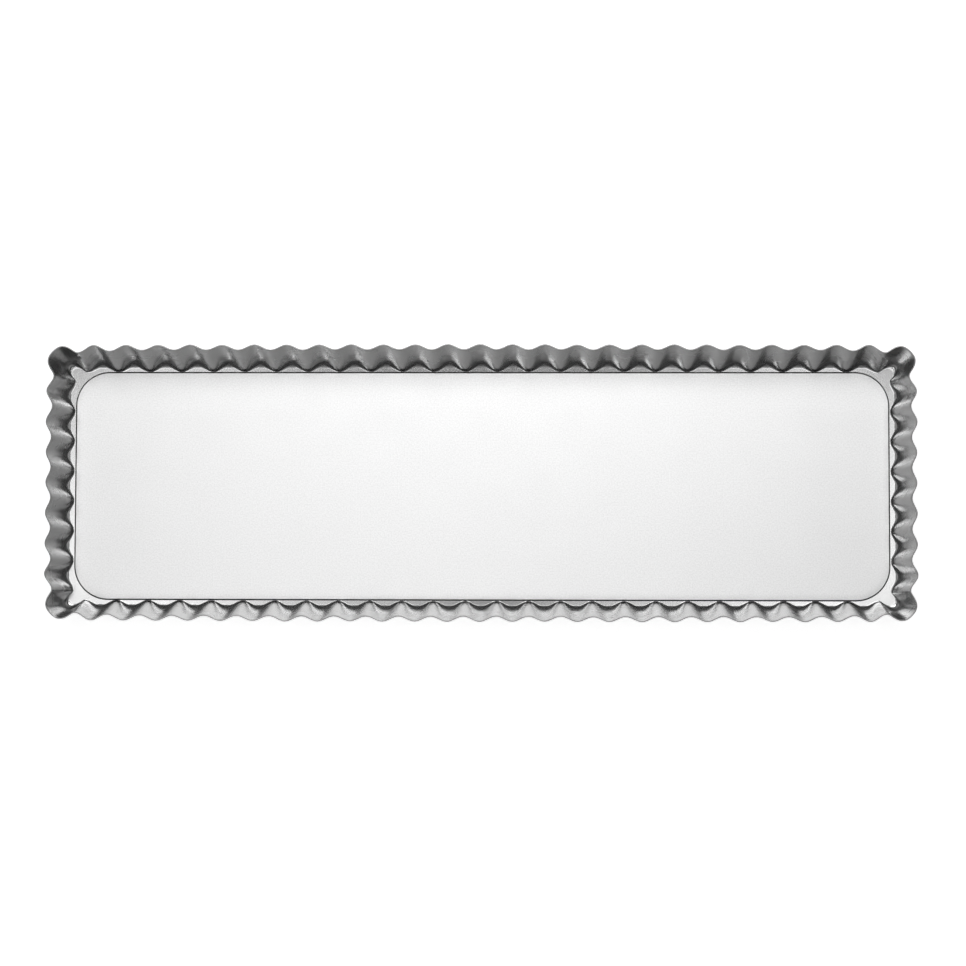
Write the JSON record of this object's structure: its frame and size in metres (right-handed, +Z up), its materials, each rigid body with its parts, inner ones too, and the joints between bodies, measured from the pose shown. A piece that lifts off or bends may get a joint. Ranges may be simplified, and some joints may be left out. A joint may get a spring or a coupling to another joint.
{
  "type": "tart pan",
  "caption": "Long rectangular tart pan: a fluted, flared metal ring with a narrow inward lip, and a flat loose base that rests on the lip and lifts out to free the tart.",
  "frame": {"origin": "the middle of the underside, on the surface that the pan stands on", "axes": "+X along the long walls, +Y across the pan, +Z up out of its open top"},
  "size_m": [0.356, 0.1136, 0.025],
  "materials": {
    "ring_tinplate": "satin, half-bright tinned steel",
    "base_tinplate": "matte, fine-grained tinned steel"
  },
  "bodies": {
    "ring": {"fluted_ring": "ring_tinplate"},
    "base": {"loose_base": "base_tinplate"}
  },
  "joints": [
    {"name": "base_lift", "type": "slide", "parent": "ring", "child": "base", "axis": [0, 0, 1], "range_m": [0, 0.045]}
  ]
}
